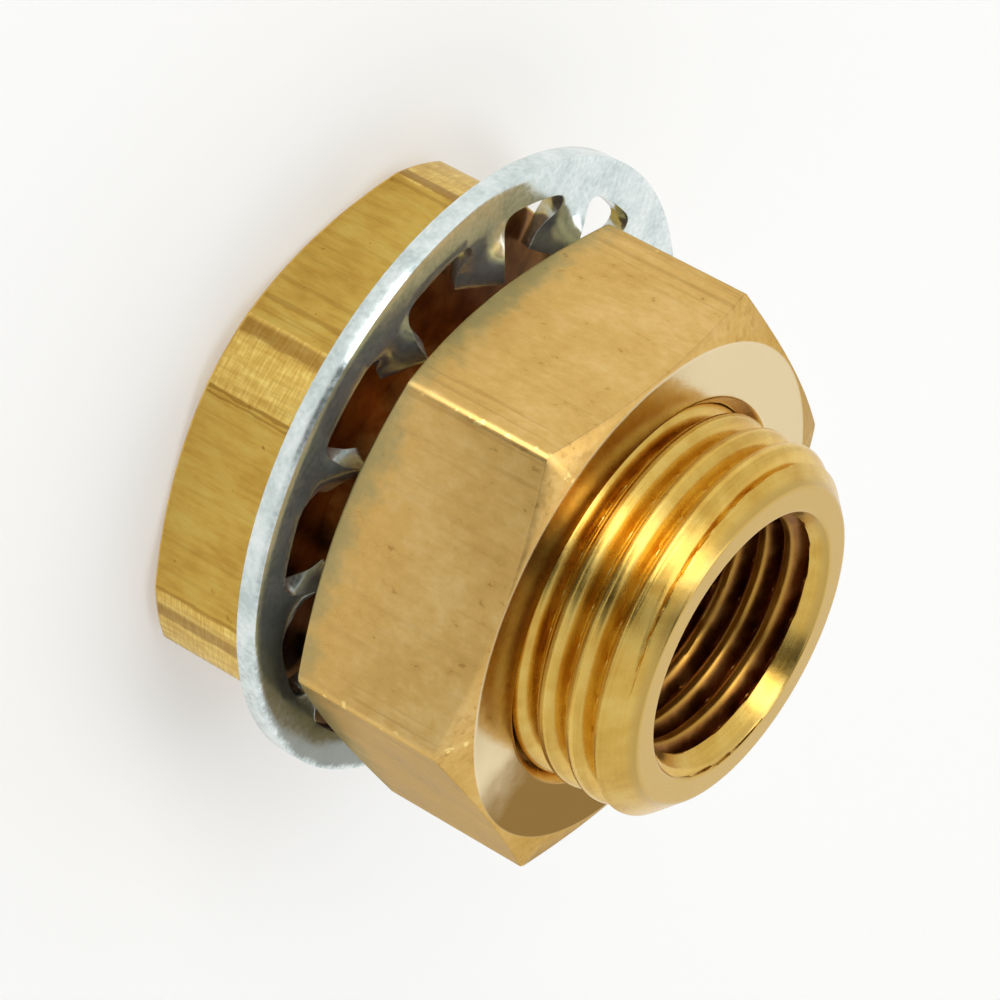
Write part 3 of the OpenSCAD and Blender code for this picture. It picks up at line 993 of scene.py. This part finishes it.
def strip_lamp(name, settings):
    """A long soft lamp overhead, which draws the bright streak down the thread."""
    near, far = [overhead(settings, *end) for end in LAMP_ENDS]
    data = bpy.data.lights.new(name, "AREA")
    data.shape = "RECTANGLE"
    data.size = settings.lamp_width
    data.size_y = (near - far).length
    data.energy = settings.lamp_brightness * math.pi * data.size * data.size_y
    lamp = bpy.data.objects.new(name, data)
    along = (near - far).normalized()
    up = Vector((0, 0, 1))
    rotation = Matrix((along.cross(up), along, up)).transposed().to_4x4()
    lamp.matrix_world = Matrix.Translation((near + far) / 2) @ rotation
    bpy.context.scene.collection.objects.link(lamp)
    return lamp


FLOOR_REACH = 3.0  # distance in metres from the axis to the floor's sides
PAPER_GLOW = 0.35  # share of the paper that is seen as plain white


def white_paper(name, colour):
    """Matt white paper. A third of what is seen of it is plain white, in metal too, so that the
    object's shadow stays but is pale."""
    material, tree, shader, _ = new_material(name)
    shader.inputs["Base Color"].default_value = linear(colour)
    shader.inputs["Roughness"].default_value = 0.9
    shader.inputs["Specular IOR Level"].default_value = 0.0
    path = add_node(tree, "ShaderNodeLightPath").outputs
    seen = maths(tree, "MAXIMUM", path["Is Camera Ray"], path["Is Glossy Ray"])
    seen = maths(tree, "MAXIMUM", seen, path["Is Transmission Ray"])
    glow = add_node(tree, "ShaderNodeEmission", inputs={"Color": grey(1.0), "Strength": 1.0})
    mix = add_node(tree, "ShaderNodeMixShader", inputs={
        0: times(tree, seen, PAPER_GLOW), 1: shader.outputs["BSDF"], 2: glow.outputs["Emission"],
    })
    tree.links.new(mix.outputs["Shader"], tree.nodes["Material Output"].inputs["Surface"])
    return material


def sky_direction(settings, turn, elevation):
    """A direction from the object: turn 0 is the camera's own side."""
    azimuth = settings.azimuth + math.pi + math.radians(turn)
    rise = math.radians(elevation)
    level = math.cos(rise)
    return Vector((math.sin(azimuth) * level, math.cos(azimuth) * level, math.sin(rise)))


# bright sides of the room, in degrees: turn from the camera's side, elevation, radius of the full
# part, radius of the faded edge; and the brightness
WINDOWS = (
    (180, 30, 30, 60, 1.0),
    (27, 8, 9, 14, 3.4),
    (27, 28, 9, 14, 3.4),
    (30, 48, 10, 15, 3.4),
)


# dark sides of the room, in the same terms: brightness is what they leave of the room's light
SHADES = (
    (-7, 5, 15, 19, 0.05),
    (-7, 28, 15, 19, 0.05),
    (-10, 50, 14, 19, 0.05),
)


def studio_world(name, settings):
    """A light room with soft windows, and two darker sides."""
    world = bpy.data.worlds.new(name)
    world.use_nodes = True
    tree = world.node_tree
    direction = add_node(tree, "ShaderNodeTexCoord").outputs["Generated"]
    light = settings.room_light
    for sides, operation, outside in ((SHADES, "MULTIPLY", 1.0), (WINDOWS, "MAXIMUM", 0.0)):
        for turn, elevation, inner, outer, brightness in sides:
            middle = sky_direction(settings, turn, elevation)
            nearness = add_node(tree, "ShaderNodeVectorMath", {"operation": "DOT_PRODUCT"}, {
                0: direction, 1: middle,
            }).outputs["Value"]
            edge = [math.cos(math.radians(angle)) for angle in (outer, inner)]
            spread = fade(tree, nearness, *edge, outside, brightness)
            light = maths(tree, operation, spread, light)
    background = tree.nodes["Background"]
    background.inputs["Color"].default_value = grey(1.0)
    tree.links.new(light, background.inputs["Strength"])
    return world


def flat_mesh(name, corners):
    """A mesh of one face with four corners."""
    mesh = bpy.data.meshes.new(name)
    mesh.from_pydata(corners, [], [(0, 1, 2, 3)])
    return mesh


def dark_card(name, settings):
    """A dark card overhead beside the lamp, which draws a dark band down the thread."""
    corners = [overhead(settings, *corner) for corner in CARD_CORNERS]
    material, _, shader, _ = new_material("Black card")
    shader.inputs["Base Color"].default_value = linear("#141414")
    shader.inputs["Roughness"].default_value = 0.8
    card = new_object(name, flat_mesh(name, corners), [material])
    card.visible_camera = False
    return card


# cards on the floor: name, the turns that they lie between as WINDOWS has them, brightness
FLOOR_CARDS = (
    ("black_floor_card", -19, 10, 0.03),
    ("white_floor_card", 10, 38, 3.6),
    ("grey_floor_card", -62, -19, 0.66),
)


def floor_card(name, settings, from_turn, to_turn, brightness):
    """A card lying in front of the part, which only its bright metal reflects."""
    up = Vector((0, 0, settings.card_lift))
    corners = []
    turns = (from_turn, to_turn)
    for reach, ends in ((settings.card_near, turns), (settings.card_far, turns[::-1])):
        corners += [sky_direction(settings, turn, 0) * reach + up for turn in ends]
    material, tree, _, _ = new_material(name)
    glow = add_node(tree, "ShaderNodeEmission", inputs={"Color": grey(1.0), "Strength": brightness})
    tree.links.new(glow.outputs["Emission"], tree.nodes["Material Output"].inputs["Surface"])
    card = new_object(name, flat_mesh(name, corners), [material])
    card.visible_camera = False
    card.visible_diffuse = False
    card.visible_shadow = False
    return card


class TCN_OT_studio(bpy.types.Operator):
    """Builds the pale floor, the soft lights and the camera"""

    bl_idname = "tank_connector.studio"
    bl_label = "Build Studio"

    def execute(self, context):
        settings = context.scene.tcn_studio
        look = context.scene.tcn_finishes

        sides = ((-1, -1), (1, -1), (1, 1), (-1, 1))
        corners = [(x * FLOOR_REACH, y * FLOOR_REACH, 0) for x, y in sides]
        paper = white_paper("White paper", look.floor)
        floor = new_object("floor", flat_mesh("floor", corners), [paper])

        context.scene.world = studio_world("Studio room", settings)
        dark_card("card", settings)
        strip_lamp("key", settings)
        for card_name, from_turn, to_turn, brightness in FLOOR_CARDS:
            floor_card(card_name, settings, from_turn, to_turn, brightness)

        camera_data = bpy.data.cameras.new("camera")
        camera_data.lens = settings.lens
        camera_data.sensor_width = 36.0
        camera_data.clip_start = 0.01
        camera = bpy.data.objects.new("camera", camera_data)
        rotation = look_along(settings.azimuth, settings.elevation, settings.roll)
        camera.matrix_world = Matrix.Translation(Vector(settings.position)) @ rotation.to_4x4()
        context.scene.collection.objects.link(camera)
        context.scene.camera = camera

        context.scene.view_settings.view_transform = "Standard"
        return {"FINISHED"}


class TCN_PT_panel(bpy.types.Panel):
    """Lists the steps that build the tank connector"""

    bl_idname = "TCN_PT_panel"
    bl_label = "Tank Connector"
    bl_space_type = "VIEW_3D"
    bl_region_type = "UI"
    bl_category = "Tank Connector"

    def draw(self, context):
        for operator in (TCN_OT_fitting, TCN_OT_nut, TCN_OT_washer, TCN_OT_studio):
            self.layout.operator(operator.bl_idname)


GROUPS = {
    "tcn_fitting": FittingSizes, "tcn_nut": NutSizes, "tcn_washer": WasherSizes,
    "tcn_finishes": Finishes, "tcn_studio": StudioSettings,
}
CLASSES = (*GROUPS.values(), TCN_OT_fitting, TCN_OT_nut, TCN_OT_washer, TCN_OT_studio, TCN_PT_panel)


def register():
    for item in CLASSES:
        bpy.utils.register_class(item)
    for name, group in GROUPS.items():
        setattr(bpy.types.Scene, name, bpy.props.PointerProperty(type=group))


def unregister():
    for name in GROUPS:
        delattr(bpy.types.Scene, name)
    for item in reversed(CLASSES):
        bpy.utils.unregister_class(item)


def main():
    register()
    bpy.ops.tank_connector.fitting()
    bpy.ops.tank_connector.nut()
    bpy.ops.tank_connector.washer()
    bpy.ops.tank_connector.studio()


if __name__ == "__main__":
    main()
